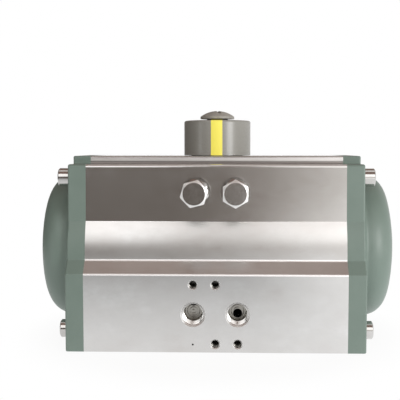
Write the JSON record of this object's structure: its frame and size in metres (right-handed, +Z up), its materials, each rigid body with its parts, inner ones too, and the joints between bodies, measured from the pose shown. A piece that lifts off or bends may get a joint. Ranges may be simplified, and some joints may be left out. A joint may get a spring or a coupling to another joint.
{
  "type": "pneumatic valve actuator",
  "caption": "Rack-and-pinion quarter-turn valve actuator: extruded body, domed end caps, two opposed pistons, central pinion, stop screws, position indicator.",
  "frame": {"origin": "on the drive axis, in the valve mounting face at the bottom of the body", "axes": "+X along the piston bore, -Y out of the port panel, +Z up the pinion to the indicator"},
  "size_m": [0.2032, 0.1162, 0.1313],
  "materials": {
    "anodised_aluminium": "satin hard-anodised, fine drawn grain",
    "cap_paint": "semi-gloss grey-green powder coat on die-cast aluminium",
    "stainless_steel": "bright stainless steel",
    "piston_aluminium": "die-cast, machined rack and crown",
    "pinion_steel": "nickel-plated machined steel",
    "indicator_grey": "moulded, smooth",
    "indicator_yellow": "moulded, smooth",
    "screw_grey": "moulded nylon head, fine texture",
    "seal_rubber": "black nitrile",
    "acetal": "natural acetal",
    "spring_steel": "oiled black spring steel"
  },
  "bodies": {
    "housing": {"body": "anodised_aluminium", "end_cap_left": "cap_paint", "end_cap_right": "cap_paint", "cap_seal_left": "seal_rubber", "cap_seal_right": "seal_rubber", "duct_seals": "seal_rubber", "cap_screws_left": "stainless_steel", "cap_screws_right": "stainless_steel", "locknuts": "stainless_steel", "seal_washers": "stainless_steel", "lower_bush": "acetal", "upper_bush": "acetal", "thrust_ring": "acetal"},
    "drive": {"pinion": "pinion_steel", "lower_shaft_seal": "seal_rubber", "upper_shaft_seal": "seal_rubber", "stop_cam": "pinion_steel", "thrust_washer": "acetal", "circlip": "spring_steel", "indicator_cap": "indicator_grey", "indicator_stripe": "indicator_yellow", "indicator_washer": "seal_rubber", "indicator_screw": "screw_grey"},
    "left_piston": {"piston_left": "piston_aluminium", "piston_seal_left": "seal_rubber", "guide_band_left": "acetal", "rack_pad_left": "acetal"},
    "right_piston": {"piston_right": "piston_aluminium", "piston_seal_right": "seal_rubber", "guide_band_right": "acetal", "rack_pad_right": "acetal"},
    "left_stop": {"stop_screw_left": "stainless_steel"},
    "right_stop": {"stop_screw_right": "stainless_steel"}
  },
  "joints": [
    {"name": "quarter_turn", "type": "hinge", "parent": "housing", "child": "drive", "pos_m": [0, 0, 0.0523], "axis": [0, 0, 1], "range_deg": [0, 90]},
    {"name": "right_piston_slide", "type": "slide", "parent": "housing", "child": "right_piston", "axis": [1, 0, 0], "range_m": [0, 0.02121]},
    {"name": "left_piston_slide", "type": "slide", "parent": "housing", "child": "left_piston", "axis": [-1, 0, 0], "range_m": [0, 0.02121]},
    {"name": "left_stop_adjust", "type": "slide", "parent": "housing", "child": "left_stop", "axis": [0, -1, 0], "range_m": [0, 0.002]},
    {"name": "right_stop_adjust", "type": "slide", "parent": "housing", "child": "right_stop", "axis": [0, -1, 0], "range_m": [0, 0.002]}
  ],
  "couplings": [
    {"joint": "right_piston_slide", "follows": "quarter_turn", "m_per_rad": 0.0135},
    {"joint": "left_piston_slide", "follows": "quarter_turn", "m_per_rad": 0.0135}
  ]
}
